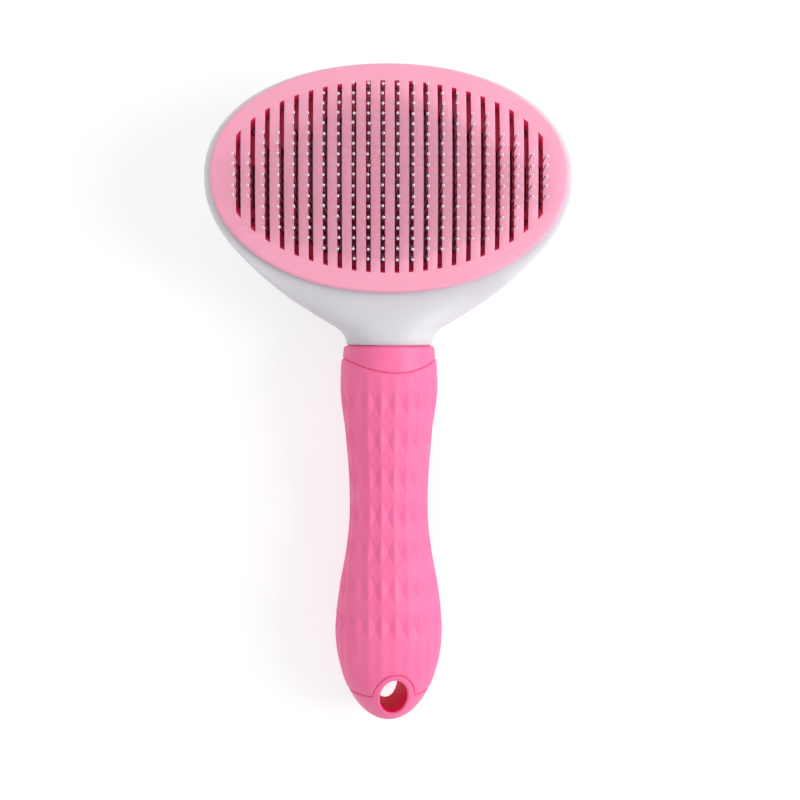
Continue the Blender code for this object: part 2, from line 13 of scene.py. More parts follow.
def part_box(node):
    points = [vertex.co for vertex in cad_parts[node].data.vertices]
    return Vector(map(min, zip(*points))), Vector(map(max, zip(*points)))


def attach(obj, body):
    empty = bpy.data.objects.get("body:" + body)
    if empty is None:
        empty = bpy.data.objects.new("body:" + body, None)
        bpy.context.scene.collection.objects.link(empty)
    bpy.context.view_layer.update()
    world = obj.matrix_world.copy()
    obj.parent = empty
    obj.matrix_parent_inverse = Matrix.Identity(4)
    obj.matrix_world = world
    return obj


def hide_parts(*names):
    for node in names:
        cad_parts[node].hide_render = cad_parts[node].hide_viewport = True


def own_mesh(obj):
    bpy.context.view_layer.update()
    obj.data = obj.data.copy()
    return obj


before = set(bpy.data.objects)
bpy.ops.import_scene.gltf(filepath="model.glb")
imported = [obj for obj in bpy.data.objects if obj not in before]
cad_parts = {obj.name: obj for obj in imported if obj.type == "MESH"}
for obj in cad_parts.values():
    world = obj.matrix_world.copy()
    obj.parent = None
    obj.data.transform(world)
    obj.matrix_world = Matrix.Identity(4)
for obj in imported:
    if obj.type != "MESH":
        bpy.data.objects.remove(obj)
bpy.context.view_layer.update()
MM = 0.001

# Head, in step with the CAD model
HEAD_Y = 65.6
HEAD_A, HEAD_B, HEAD_POWER = 54.7, 34.9, 2.1
ARCH_RADIUS = 122.0
FRONT_Z = 39.0
BACK_Z = 10.0
WALL = 2.2
PLATE_A, PLATE_B, PLATE_POWER = 52.6, 34.0, 2.08
PLATE_SKIN, PLATE_LIP = 2.4, 1.4
COLUMNS, COLUMN_PITCH = 22, 4.212
SLOT_WIDTH = 1.4
SLOT_A, SLOT_B = 48.9, 28.4
SLOT_TAPER = 0.927  # of the slots' oval at their bottom
LEG_HALF, LEG_BOTTOM = (0.9, 1.6), 13.3
LEG_PLACES = [(x * COLUMN_PITCH, y) for x in (-4, 4) for y in (-23.6, 23.6)]
RIM_OPENING = 0.905
RIM_Z = FRONT_Z - PLATE_SKIN - 0.3

# Pins
FIRST_TIP_Y, ROW_PITCH = 89.3, 2.934
PIN_HEIGHT, ELBOW_HEIGHT = 13.0, 8.7
PIN_LEAN, TIP_LEAN = math.radians(8.6), math.radians(10)
WIRE_RADIUS, TIP_RADIUS, TIP_STRETCH = 0.17, 0.40, 1.15
KNEE = 0.5  # length of wire on each side of the elbow that bends
BAR_SIZE = 0.4  # of the bar that joins a row's feet
BAR_Z = 32.25  # its middle, at the head's centre
PIN_SWAY = 0.12  # how far a tip strays, as the wires bend in use
PIN_SPANS = ((7, 11), (7, 11), (5, 14), (5, 14), (3, 15), (3, 15), (1, 16), (1, 16),
             (0, 17), (0, 17), (0, 17))  # first and last row of each column, from an end to the middle

# Handle, along its own axis from the neck to the tail
HANDLE_TOP = Vector((0, 16.4, 21.66))
HANDLE_LENGTH = 117.5
HANDLE_TILT, HANDLE_TURN = math.radians(3.6), math.radians(7)
HANDLE_FLATNESS = 0.955
TAIL_START, TAIL_HALF_WIDTH = 88.0, 16.7
HANDLE_STATIONS = ((0, 13.9), (12, 14.95), (28, 13.3), (44, 12.2), (56, 12.4), (66, 13.7), (76, 15.5),
                   (82, 16.3), (TAIL_START, TAIL_HALF_WIDTH))  # place and half-width
COLLAR_ARC, COLLAR_DIP = 27.1, 7.9
TAIL_SEAM = 107.0
HOLE_PLACE, HOLE_RADIUS, HOLE_STRETCH = 107.2, 4.2, 1.43
BOSS_RADIUS, BOSS_STRETCH = 6.5, 1.2
CORE_RADIUS, GRIP_BORE = 9.0, 9.2
RIDGES = 20
DIMPLE_ROWS = (11.6, 22.5, 34.0, 45.7, 56.9, 67.7, 78.9, 90.1)  # limits of the rows of dimples
DIMPLE_DEPTH = 0.95
FLUTE_DEPTH = 0.3  # of the hollow that runs down each strip, dimples or not
RIDGE_RADIUS = 13.4  # where the handle is wider its ridges keep their spacing, with more at its sides

# Button
BUTTON_A, BUTTON_B, BUTTON_POWER = 22.0, 16.0, 2.2
SPRING_RADIUS, SPRING_WIRE, SPRING_TURNS = 6.0, 0.9, 7


# ---------------------------------------------------------------- mesh helpers

def add_object(name, mesh):
    obj = bpy.data.objects.new(name, mesh)
    bpy.context.scene.collection.objects.link(obj)
    return obj


def grid_object(name, points, close_rows=False, cap_start=False, cap_end=False):
    """A surface through a grid of points in millimetres, indexed (row, column). Columns close into loops."""
    rows, columns = points.shape[:2]
    index = np.arange(rows * columns).reshape(rows, columns)
    below = index if close_rows else index[:-1]
    above = np.roll(index, -1, 0) if close_rows else index[1:]
    quads = np.stack([below, np.roll(below, -1, 1), np.roll(above, -1, 1), above], -1).reshape(-1, 4)
    faces = quads.tolist()
    if cap_start:
        faces.append(index[0][::-1].tolist())
    if cap_end:
        faces.append(index[-1].tolist())
    mesh = bpy.data.meshes.new(name)
    mesh.from_pydata((points.reshape(-1, 3) * MM).tolist(), [], faces)
    tidy_normals(mesh)
    return add_object(name, mesh)


def tidy_normals(mesh):
    bm = bmesh.new()
    bm.from_mesh(mesh)
    bmesh.ops.recalc_face_normals(bm, faces=bm.faces)
    bm.to_mesh(mesh)
    bm.free()


def apply_modifiers(obj):
    graph = bpy.context.evaluated_depsgraph_get()
    mesh = bpy.data.meshes.new_from_object(obj.evaluated_get(graph))
    obj.modifiers.clear()
    obj.data = mesh
    return obj


def boolean(target, other, operation):
    modifier = target.modifiers.new("boolean", "BOOLEAN")
    modifier.object, modifier.operation, modifier.solver = other, operation, "EXACT"
    apply_modifiers(target)
    bpy.data.objects.remove(other)
    return target


def shade(obj, angle=35):
    obj.data.shade_smooth()
    obj.data.set_sharp_from_angle(angle=math.radians(angle))
    return obj


def box(name, low, high):
    bm = bmesh.new()
    low, high = Vector(low) * MM, Vector(high) * MM
    place_and_size = Matrix.Translation((low + high) / 2) @ Matrix.Diagonal((*(high - low), 1))
    bmesh.ops.create_cube(bm, size=1, matrix=place_and_size)
    mesh = bpy.data.meshes.new(name)
    bm.to_mesh(mesh)
    bm.free()
    return add_object(name, mesh)


def superoval(angle, half, power):
    c, s = np.cos(angle), np.sin(angle)
    return (half[0] * np.sign(c) * np.abs(c) ** (2 / power), half[1] * np.sign(s) * np.abs(s) ** (2 / power))


def superoval_reach(angle, half, power):
    """Distance from the centre to a superoval in a true direction."""
    across, along = np.abs(np.cos(angle) / half[0]), np.abs(np.sin(angle) / half[1])
    return (across**power + along**power) ** (-1 / power)


def oval_prism(name, rings, power, steps, centre=(0, 0)):
    """A closed stack of ovals. Each ring is (half-width, half-height, z)."""
    angle = np.linspace(0, 2 * math.pi, steps, endpoint=False)
    points = np.zeros((len(rings), steps, 3))
    for k, (a, b, z) in enumerate(rings):
        x, y = superoval(angle, (a, b), power)
        points[k] = np.stack([x + centre[0], y + centre[1], np.full(steps, z)], -1)
    return grid_object(name, points, cap_start=True, cap_end=True)


def smooth_through(stations, at):
    """A smooth curve through (place, value) stations."""
    places = np.array([s[0] for s in stations], float)
    values = np.array([s[1] for s in stations], float)
    slopes = np.gradient(values, places)
    at = np.clip(np.asarray(at, float), places[0], places[-1])
    i = np.clip(np.searchsorted(places, at) - 1, 0, len(places) - 2)
    span = places[i + 1] - places[i]
    t = (at - places[i]) / span
    return (values[i] * (2 * t**3 - 3 * t**2 + 1) + slopes[i] * span * (t**3 - 2 * t**2 + t)
            + values[i + 1] * (3 * t**2 - 2 * t**3) + slopes[i + 1] * span * (t**3 - t**2))


def ease(low, high, at):
    """0 at low, 1 at high, smooth between."""
    t = np.clip((np.asarray(at, float) - low) / (high - low), 0, 1)
    return t * t * (3 - 2 * t)


def mix(a, b, share):
    return a + (b - a) * share


def drop(y):
    """How far the arched front is below its middle, at a distance from the head's centre."""
    return y * y / (2 * ARCH_RADIUS)


def arch(obj, half_height, strips):
    """Bends a flat piece over the head's arch, in narrow strips."""
    edges = np.linspace(-half_height, half_height, strips + 1) * MM
    bm = bmesh.new()
    bm.from_mesh(obj.data)
    for y in edges[1:-1]:
        geometry = bm.verts[:] + bm.edges[:] + bm.faces[:]
        point = (0, y + HEAD_Y * MM, 0)
        bmesh.ops.bisect_plane(bm, geom=geometry, plane_co=point, plane_no=(0, 1, 0), dist=1e-7)
    for v in bm.verts:
        v.co.z -= drop(v.co.y / MM - HEAD_Y) * MM
    bm.to_mesh(obj.data)
    bm.free()
    return obj


# ---------------------------------------------------------------- materials

def linear(colour):
    """sRGB 0 to 255 as linear light."""
    return [c / 255 / 12.92 if c / 255 <= 0.04045 else ((c / 255 + 0.055) / 1.055) ** 2.4 for c in colour]


class Nodes:
    """A small helper that adds linked shader nodes to a material."""

    def __init__(self, name):
        self.material = bpy.data.materials.new(name)
        self.material.use_nodes = True
        self.tree = self.material.node_tree
        self.shader = self.tree.nodes["Principled BSDF"]

    def add(self, kind, **settings):
        node = self.tree.nodes.new(kind)
        inputs = settings.pop("inputs", {})
        for key, value in settings.items():
            setattr(node, key, value)
        for key, value in inputs.items():
            if isinstance(value, bpy.types.NodeSocket):
                self.tree.links.new(value, node.inputs[key])
            else:
                node.inputs[key].default_value = value
        return node

    def noise(self, scale, detail=3.0, roughness=0.5):
        place = self.add("ShaderNodeTexCoord").outputs["Object"]
        return self.add("ShaderNodeTexNoise", inputs={
            "Vector": place, "Scale": scale, "Detail": detail, "Roughness": roughness}).outputs["Fac"]

    def between(self, factor, low, high):
        """Maps a noise's middle range onto low to high."""
        return self.add("ShaderNodeMapRange", inputs={
            "Value": factor, "From Min": 0.3, "From Max": 0.7,
            "To Min": low, "To Max": high}).outputs["Result"]

    def blend(self, factor, first, second):
        node = self.add("ShaderNodeMix", data_type="RGBA")
        self.tree.links.new(factor, node.inputs["Factor"])
        node.inputs[6].default_value = (*first, 1)  # 6, 7 and output 2 are the colour sockets
        node.inputs[7].default_value = (*second, 1)
        return node.outputs[2]

    def bump(self, height, strength, distance):
        return self.add("ShaderNodeBump", inputs={
            "Height": height, "Strength": strength, "Distance": distance}).outputs["Normal"]

    def set(self, **values):
        for key, value in values.items():
            socket = self.shader.inputs[key.replace("_", " ")]
            if isinstance(value, bpy.types.NodeSocket):
                self.tree.links.new(value, socket)
            else:
                socket.default_value = value


def plastic(name, colour, second, rough, grain,
            subsurface=0.0, radius=(1, 0.3, 0.3), depth=2.0, specular=0.5):
    """Moulded plastic: a faint mottle of two colours, a fine spark-eroded grain and uneven gloss."""
    m = Nodes(name)
    mottle = m.between(m.noise(70, 4), 0, 1)
    fine = m.noise(2600, 2, 0.6)
    m.set(Base_Color=m.blend(mottle, linear(colour), linear(second)),
          Roughness=m.between(m.noise(240, 3), rough - 0.05, rough + 0.05),
          Normal=m.bump(fine, 1.0, grain * MM),
          Subsurface_Weight=subsurface, Subsurface_Radius=radius, Subsurface_Scale=depth * MM,
          Specular_IOR_Level=specular)
    return m.material


def metal(name, colour, rough):
    m = Nodes(name)
    bright = linear(colour)
    m.set(Base_Color=m.blend(m.between(m.noise(900, 3), 0, 1), bright, [c * 0.8 for c in bright]),
          Metallic=1.0, Roughness=m.between(m.noise(1500, 3), rough - 0.08, rough + 0.08),
          Normal=m.bump(m.noise(4000, 2), 0.6, 0.01 * MM))
    return m.material


WHITE = plastic("white_abs", (213, 212, 218), (208, 207, 214), 0.5, 0.004,
                subsurface=0.6, radius=(1, 0.9, 0.85), depth=9.0, specular=0.3)
PLATE_PINK = plastic("plate_pink", (246, 168, 193), (243, 163, 189), 0.5, 0.006, subsurface=0.5)
# The slot walls are the plate's own plastic. Their deeper, redder pink is painted shade, the dusk inside the
# narrow slots.
SLOT_WALL_PAINTED_SHADE = plastic("slot_wall_painted_shade", (232, 60, 116), (224, 54, 110), 0.6, 0.006, specular=0.1)
HANDLE_PINK = plastic("handle_pink", (243, 110, 160), (240, 104, 155), 0.5, 0.006, subsurface=0.05)
# The hanging hole's wall is the handle's own plastic. Its deep crimson is painted shade, the dusk inside the
# hole.
HOLE_WALL_PAINTED_SHADE_AND_GLOW = plastic("hole_wall_painted_shade_and_glow", (226, 24, 84), (218, 18, 76), 0.6, 0.006, specular=0.1)
GRIP_PINK = plastic("grip_rubber", (244, 112, 162), (240, 106, 157), 0.6, 0.012, subsurface=0.05)
BED_RED = plastic("bed_rubber", (250, 84, 132), (240, 74, 122), 0.7, 0.01, specular=0.1)
# The bed screws are steel. Their pink colour is painted light, the pink light of the slots around them.
SCREW_PAINTED_SLOT_LIGHT = plastic("screw_painted_slot_light", (222, 76, 120), (206, 66, 108), 0.4, 0.004)
TIP_WHITE = plastic("pin_tip_white", (252, 250, 252), (246, 244, 248), 0.3, 0.001)
# The wires are grey steel. Their pink tint is a painted reflection of the pink plate and bed around them.
WIRE_STEEL_PAINTED_PINK_REFLECTION = metal("pin_wire", (136, 92, 106), 0.32)
BRIGHT_STEEL = metal("bright_steel", (205, 205, 210), 0.28)
hole_painted_glow_inputs = HOLE_WALL_PAINTED_SHADE_AND_GLOW.node_tree.nodes["Principled BSDF"].inputs  # a faint painted glow on the hole's wall, standing in for light that comes through the pink tail
hole_painted_glow_inputs["Emission Color"].default_value = (*linear((226, 24, 84)), 1)
hole_painted_glow_inputs["Emission Strength"].default_value = 0.06


def paint(obj, *materials):
    if obj.data.materials:
        obj.data.materials.clear()
    for material in materials:
        obj.data.materials.append(material)
    return obj


def place(obj, body, nodes, slot):
    """Rides a finished piece on its body, in place of the CAD nodes it stands for."""
    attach(obj, body)
    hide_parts(*nodes)
    return obj


# ---------------------------------------------------------------- head shell

NECK_END = HANDLE_TOP.y + 0.3
NECK_WIDTHS = ((16.4, 13.0), (18.5, 13.4), (21.0, 15.2), (24.0, 20.0), (26.8, 24.5), (29.7, 29.1),
               (32.6, 33.1), (35.6, 36.8), (38.5, 40.1), (41.4, 43.1), (44.3, 45.9), (47.2, 48.3),
               (50.2, 50.3), (53.1, 51.9), (56.0, 53.1), (59.0, 54.0), (62.0, 54.5),
               (HEAD_Y, HEAD_A))  # y and half-width
NECK_FRONT = ((16.4, 34.0), (20.0, 33.5), (24.0, 32.4), (28.0, 31.35), (31.0, 31.3), (34.0, 32.2),
              (38.0, 33.18))  # y and height on the middle line


def half_width(y):
    """Half-width of the shell's outline, neck and all."""
    oval = HEAD_A * np.clip(1 - np.abs((y - HEAD_Y) / HEAD_B) ** HEAD_POWER, 0, 1) ** (1 / HEAD_POWER)
    return np.where(y < HEAD_Y, smooth_through(NECK_WIDTHS, y), oval)


def shell_outline(side_steps=150, cap_steps=9):
    """The outline as a closed loop of (x, y), evenly spaced, with the neck's corners kept."""
    t = np.linspace(0, 1, 4000)
    y = NECK_END + (HEAD_Y + HEAD_B - NECK_END) * (1 - (1 - t) ** 2.5)
    x = half_width(y)
    length = np.concatenate([[0], np.cumsum(np.hypot(np.diff(x), np.diff(y)))])
    at = np.linspace(0, length[-1], side_steps)
    right = np.stack([np.interp(at, length, x), np.interp(at, length, y)], -1)
    right[-1, 0] = 0
    left = right[:-1][::-1] * (-1, 1)
    cap_x = np.linspace(-right[0, 0], right[0, 0], cap_steps * 2 + 1)[1:-1]
    return np.concatenate([right, left, np.stack([cap_x, np.full_like(cap_x, NECK_END)], -1)])


def arc_edge(fraction, start):
    """1 up to start, then falling to 0 at 1 along a quarter of an oval."""
    return np.sqrt(np.clip(1 - np.clip((fraction - start) / (1 - start), 0, 1) ** 2, 0, 1))


def shell_heights(x, y, fraction):
    """Back and front of the shell at (x, y). fraction is 1 on the outline."""
    neck = 1 - ease(24, 46, y)
    across = np.clip(np.abs(x) / half_width(np.maximum(y, NECK_END)), 0, 1)
    round_neck = (1 - across**2.2) ** (1 / 2.2)
    side_low = mix(28.0, HANDLE_TOP.z, 1 - ease(20, 54, y))
    side_high = mix(RIM_Z - 1.2 - drop(y - HEAD_Y), HANDLE_TOP.z, 1 - ease(19, 46, y))
    side_high = np.maximum(side_high, side_low + 0.03)
    back_z = mix(BACK_Z, 9.2, 1 - ease(16, 30, y))
    front_z = np.where(y < 38, smooth_through(NECK_FRONT, y), RIM_Z - drop(y - HEAD_Y))
    back = side_low - (side_low - back_z) * mix(arc_edge(fraction, 0.70), round_neck, neck)
    front = side_high + (front_z - side_high) * mix(arc_edge(fraction, 0.985), round_neck, neck)
    return back, front


def make_shell():
    outline = shell_outline()
    reach = np.hypot(outline[:, 0], outline[:, 1] - HEAD_Y)
    angle = np.arctan2(outline[:, 1] - HEAD_Y, outline[:, 0])
    way = np.stack([np.cos(angle), np.sin(angle)], -1)
    oval = superoval_reach(angle, (HEAD_A, HEAD_B), HEAD_POWER)
    hole = superoval_reach(angle, (BUTTON_A + 0.4, BUTTON_B + 0.4), BUTTON_POWER)

    def ring(radius, z=None, side=0):
        x, y = radius * way[:, 0], HEAD_Y + radius * way[:, 1]
        if z is None:
            z = shell_heights(x, y, radius / reach)[side]
        return np.stack([x, y, z + 0 * x], -1)

    rings = [ring(hole, BACK_Z + 0.5), ring(hole + 0.15, BACK_Z + 0.15), ring(hole + 0.5, BACK_Z)]
    rings += [ring(mix(hole + 0.5, reach, 1 - (1 - k / 34) ** 2.2), side=0) for k in range(1, 35)]
    low, high = (ring(reach, side=side)[:, 2] for side in (0, 1))
    rings += [ring(reach, mix(low, high, k / 6)) for k in range(1, 6)]
    rings += [ring(mix(reach, RIM_OPENING * oval, (k / 26) ** 2.2), side=1) for k in range(26)]
    lip = ring(RIM_OPENING * oval + 0.25, side=1)
    rings += [lip, ring(RIM_OPENING * oval, lip[:, 2] - 0.25)]
    rings.append(ring(RIM_OPENING * oval, 31 - drop(way[:, 1] * oval) * 0.6))
    for share, z in ((0.93, 27.5), (0.925, 22), (0.885, 17.5), (0.82, 14), (0.74, BACK_Z + WALL)):
        rings.append(ring(share * oval, z))
    rings += [ring(mix(0.74 * oval, hole, k / 4), BACK_Z + WALL) for k in (2, 4)]
    points = np.array(rings)
    slant = (points[..., 2] - HANDLE_TOP.z) * math.tan(HANDLE_TILT) * (1 - ease(NECK_END, 30, points[..., 1]))
    points[..., 1] -= slant
    shell = paint(shade(grid_object("visual_head_shell", points, close_rows=True), 40), WHITE)
    return place(shell, "brush", ["head_shell"], "white_plastic")


# ---------------------------------------------------------------- ejector plate

def column_x(column):
    return (column - (COLUMNS - 1) / 2) * COLUMN_PITCH


def make_plate():
    skin = FRONT_Z - PLATE_SKIN
    rings = [(PLATE_A - 0.3, PLATE_B - 0.3, skin), (PLATE_A, PLATE_B, skin + 0.3)]
    for k in range(6):
        t = math.pi / 2 * k / 5
        inset = 1.1 * (1 - math.cos(t))
        rings.append((PLATE_A - inset, PLATE_B - inset, FRONT_Z - 1.1 + 1.1 * math.sin(t)))
    centre = (0, HEAD_Y)
    plate = oval_prism("visual_ejector_plate", rings, PLATE_POWER, 200, centre)
    lip = [size * RIM_OPENING - 0.6 for size in (HEAD_A, HEAD_B)]
    lip = oval_prism("lip", [(*lip, skin - PLATE_LIP), (*lip, skin + 1)], HEAD_POWER, 120, centre)
    plate = boolean(plate, lip, "UNION")
    half = (1 + SLOT_TAPER) / 2
    pocket = [(SLOT_A * half, SLOT_B * half, skin - 5), (SLOT_A * half, SLOT_B * half, skin)]
    plate = boolean(plate, oval_prism("pocket", pocket, 2.0, 120, centre), "DIFFERENCE")
    frustum = [(SLOT_A * SLOT_TAPER, SLOT_B * SLOT_TAPER, FRONT_Z - 5), (SLOT_A, SLOT_B, FRONT_Z),
               (SLOT_A, SLOT_B, FRONT_Z + 1)]
    for column in range(COLUMNS):
        x = column_x(column)
        slot = oval_prism("slot", frustum, 2.0, 160, centre)
        band = box("band", (x - SLOT_WIDTH / 2, 0, 0), (x + SLOT_WIDTH / 2, 200, 100))
        plate = boolean(plate, boolean(slot, band, "INTERSECT"), "DIFFERENCE")
    edge = plate.modifiers.new("edge", "BEVEL")
    edge.width, edge.segments = 0.08 * MM, 2
    edge.limit_method, edge.angle_limit = "ANGLE", math.radians(40)
    apply_modifiers(plate)
    arch(plate, PLATE_B, 64)
    for x, y in LEG_PLACES:
        top = FRONT_Z - drop(y) - PLATE_SKIN / 2
        leg = box("leg", (x - LEG_HALF[0], HEAD_Y + y - LEG_HALF[1], LEG_BOTTOM),
                  (x + LEG_HALF[0], HEAD_Y + y + LEG_HALF[1], top))
        plate = boolean(plate, leg, "UNION")
    paint(shade(plate, 40), PLATE_PINK, SLOT_WALL_PAINTED_SHADE)
    # Faces on the slots' walls take the painted shade.
    for face in plate.data.polygons:
        c = face.center / MM
        inside = (c.x / SLOT_A) ** 2 + ((c.y - HEAD_Y) / SLOT_B) ** 2 < 1.003
        depth = FRONT_Z - drop(c.y - HEAD_Y) - c.z
        if inside and abs(face.normal.z) < 0.75 and 0.1 < depth < PLATE_SKIN:
            face.material_index = 1
    return place(plate, "ejector", ["ejector_plate"], "plate_plastic")


# ---------------------------------------------------------------- pins

STRAY = np.random.default_rng(5)


def heading(angle):
    return np.array([math.sin(angle), math.cos(angle)])


def pin_line(row):
    """Foot, elbow and tip (y, z) of a pin, and the angles of its shank and tip from upright."""
    rise = ELBOW_HEIGHT * math.tan(PIN_LEAN) - (PIN_HEIGHT - ELBOW_HEIGHT) * math.tan(TIP_LEAN)
    normal = math.asin((FIRST_TIP_Y - ROW_PITCH * row - HEAD_Y - rise) / (ARCH_RADIUS + PIN_HEIGHT))
    shank, point = normal + PIN_LEAN, normal - TIP_LEAN
    through = np.array([HEAD_Y, FRONT_Z - ARCH_RADIUS]) + heading(normal) * ARCH_RADIUS
    elbow = through + heading(shank) * (ELBOW_HEIGHT / math.cos(PIN_LEAN))
    tip = elbow + heading(point) * ((PIN_HEIGHT - ELBOW_HEIGHT) / math.cos(TIP_LEAN))
    foot = through - heading(shank) * ((FRONT_Z - BAR_Z) / math.cos(PIN_LEAN))
    return foot, elbow, tip, shank, point


def wire_points(row, sides=8):
    """Rings of one wire, from its foot round its knee to its tip."""
    foot, elbow, tip, shank, point = pin_line(row)
    centres, angles = [foot], [shank]
    for share in (0, 0.25, 0.5, 0.75, 1):
        before = elbow - heading(shank) * KNEE * (1 - share)
        after = elbow + heading(point) * KNEE * share
        centres.append(before * (1 - share) + after * share)
        angles.append(shank + (point - shank) * share)
    centres.append(tip)
    angles.append(point)
    turn = np.linspace(0, 2 * math.pi, sides, endpoint=False)
    rings = []
    for centre, angle in zip(centres, angles):
        side = np.array([math.cos(angle), -math.sin(angle)])
        y = centre[0] + WIRE_RADIUS * np.cos(turn) * side[0]
        z = centre[1] + WIRE_RADIUS * np.cos(turn) * side[1]
        rings.append(np.stack([WIRE_RADIUS * np.sin(turn), y, z], -1))
    return np.array(rings), tip, point


def make_pin_row(column):
    """A row of bent wires with beaded tips, joined behind the bed."""
    name = f"pin_row_{column + 1:02d}"
    first, last = PIN_SPANS[min(column, COLUMNS - 1 - column)]
    x = column_x(column)
    bm = bmesh.new()
    for row in range(first, last + 1):
        rings, tip, point = wire_points(row)
        sway = np.clip(STRAY.normal(0, PIN_SWAY, 2), -2 * PIN_SWAY, 2 * PIN_SWAY)
        rise = np.clip((rings[..., 2:] - rings[0, 0, 2]) / (tip[1] - rings[0, 0, 2]), 0, 1)
        rings[..., :2] += (x, 0) + sway * rise**2
        verts = [[bm.verts.new(Vector(p) * MM) for p in ring] for ring in rings]
        for a, b in zip(verts, verts[1:]):
            for i in range(len(a)):
                bm.faces.new((a[i], a[(i + 1) % len(a)], b[(i + 1) % len(b)], b[i]))
        bm.faces.new(verts[0])
        bm.faces.new(verts[-1])
        tilt = Matrix.Rotation(-point, 4, "X")
        end = Vector((x + sway[0], tip[0] + sway[1], tip[1]))
        spot = end - Vector((0, *heading(point))) * TIP_RADIUS * TIP_STRETCH
        stretch = Matrix.Diagonal((1, 1, TIP_STRETCH, 1))
        made = bmesh.ops.create_icosphere(bm, subdivisions=2, radius=TIP_RADIUS * MM,
                                          matrix=Matrix.Translation(spot * MM) @ tilt @ stretch)
        for v in made["verts"]:
            for face in v.link_faces:
                face.material_index = 1
    low, high = pin_line(last)[0], pin_line(first)[0]
    for k in range(8):
        y0, y1 = (mix(low[0], high[0], (k + d) / 8) for d in (0, 1))
        middle = BAR_Z - drop((y0 + y1) / 2 - HEAD_Y)
        size = (BAR_SIZE, (y1 - y0) * 1.05, BAR_SIZE)
        spot = Matrix.Translation(Vector((x, (y0 + y1) / 2, middle)) * MM)
        bmesh.ops.create_cube(bm, size=MM, matrix=spot @ Matrix.Diagonal((*size, 1)))
    bmesh.ops.recalc_face_normals(bm, faces=bm.faces)
    mesh = bpy.data.meshes.new(name)
    bm.to_mesh(mesh)
    bm.free()
    row = paint(shade(add_object("visual_" + name, mesh), 50), WIRE_STEEL_PAINTED_PINK_REFLECTION, TIP_WHITE)
    return place(row, "brush", [name], "pin_wire")


# ---------------------------------------------------------------- handle

def handle_matrix():
    """From the handle's coordinates (x across, y to the front, z from neck to tail) to the brush's."""
    along = Vector((0, -math.cos(HANDLE_TILT), -math.sin(HANDLE_TILT)))
    front = Vector((0, -math.sin(HANDLE_TILT), math.cos(HANDLE_TILT)))
    turn = Matrix.Rotation(-HANDLE_TURN, 4, "Z")
    axes = Matrix((Vector((1, 0, 0)), front, along)).transposed().to_4x4()
    return Matrix.Translation(HANDLE_TOP) @ axes @ turn


def handle_radius(place_):
    share = np.clip((place_ - TAIL_START) / (HANDLE_LENGTH - TAIL_START), 0, 1)
    body = smooth_through(HANDLE_STATIONS, place_)
    return np.where(place_ < TAIL_START, body, TAIL_HALF_WIDTH * np.sqrt(1 - share**2))


def collar_seam(angle):
    """Where the collar ends, at each angle round the handle (0 is the front)."""
    at = np.full_like(angle, 6.0)
    for _ in range(20):
        at = COLLAR_DIP - COLLAR_ARC + np.sqrt(COLLAR_ARC**2 - (handle_radius(at) * np.sin(angle)) ** 2)
    return at


def tail_seam(angle):
    """Where the grip ends: a line across, arching over the hanging hole."""
    soft = 0.7
    at = np.full_like(angle, TAIL_SEAM)
    for _ in range(30):
        x = handle_radius(at) * np.abs(np.sin(angle))
        boss = HOLE_PLACE - BOSS_STRETCH * np.sqrt(np.clip(BOSS_RADIUS**2 - x**2, 0, None))
        boss = boss + np.clip(x - BOSS_RADIUS, 0, None) * 4
        h = np.clip(0.5 + 0.5 * (boss - TAIL_SEAM) / soft, 0, 1)
        at = 0.5 * at + 0.5 * (mix(boss, TAIL_SEAM, h) - soft * h * (1 - h))
    return at


def handle_points(place_, angle, radius):
    """Points in the brush's frame, from places along the handle, angles round it and radii."""
    height = HANDLE_FLATNESS * radius * np.cos(angle)
    local = np.stack([radius * np.sin(angle), height, place_ + 0 * angle], -1)
    matrix = np.array(handle_matrix())
    return local @ matrix[:3, :3].T + matrix[:3, 3]


def grip_relief(at, angle):
    """Depth of the pattern: upright ridges with rows of long shallow pyramid dimples between them."""
    from_middle = np.arctan2(np.abs(np.sin(angle)), np.abs(np.cos(angle)))  # of the front or the back
    cell = from_middle * np.maximum(handle_radius(at) / RIDGE_RADIUS, 1) / (2 * math.pi) * RIDGES
    a = np.abs(2 * (cell - np.floor(cell)) - 1)  # 0 in a cell's middle, 1 on its ridges
    rows = np.array(DIMPLE_ROWS)
    i = np.clip(np.searchsorted(rows, at) - 1, 0, len(rows) - 2)
    b = np.abs(2 * (at - rows[i]) / (rows[i + 1] - rows[i]) - 1) / 0.92
    inside = (at > rows[0]) & (at < rows[-1])
    dimple = np.clip(1 - np.maximum(a, np.where(inside, b, 1)), 0, 1)
    fade = ease(7, 11, at) * (1 - ease(96, 105, at))
    return np.maximum(DIMPLE_DEPTH * np.where(inside, dimple, 0), FLUTE_DEPTH * (1 - a)) * fade


def make_grip():
    angle = np.linspace(0, 2 * math.pi, RIDGES * 12, endpoint=False)
    start, end = collar_seam(angle) + 0.13, tail_seam(angle) - 0.13
    edge = (0.0, 0.05, 0.15, 0.3, 0.5, 0.8)
    along = [start + e for e in edge[:-1]]
    along += [mix(start + 0.8, end - 0.8, k / 330) for k in range(331)]
    along += [end - e for e in edge[:-1][::-1]]
    rows = [handle_points(start, angle, np.full_like(angle, GRIP_BORE))]
    for at in along:
        lip = 0.45 * (1 - ease(0, 3.0, np.abs(at - start) - 2))
        near = np.minimum(np.minimum(at - start, end - at), 0.8) / 0.8
        round_off = 0.55 * (1 - np.sqrt(np.clip(1 - (1 - near) ** 2, 0, 1)))
        radius = handle_radius(at) + 0.1 + 0.25 * lip - round_off - grip_relief(at, angle)
        rows.append(handle_points(at, angle, radius))
    rows.append(handle_points(end, angle, np.full_like(angle, GRIP_BORE)))
    grip = grid_object("visual_handle_grip", np.array(rows), close_rows=True)
    paint(shade(grip, 60), GRIP_PINK)
    return place(grip, "brush", ["handle_grip"], "grip_rubber")


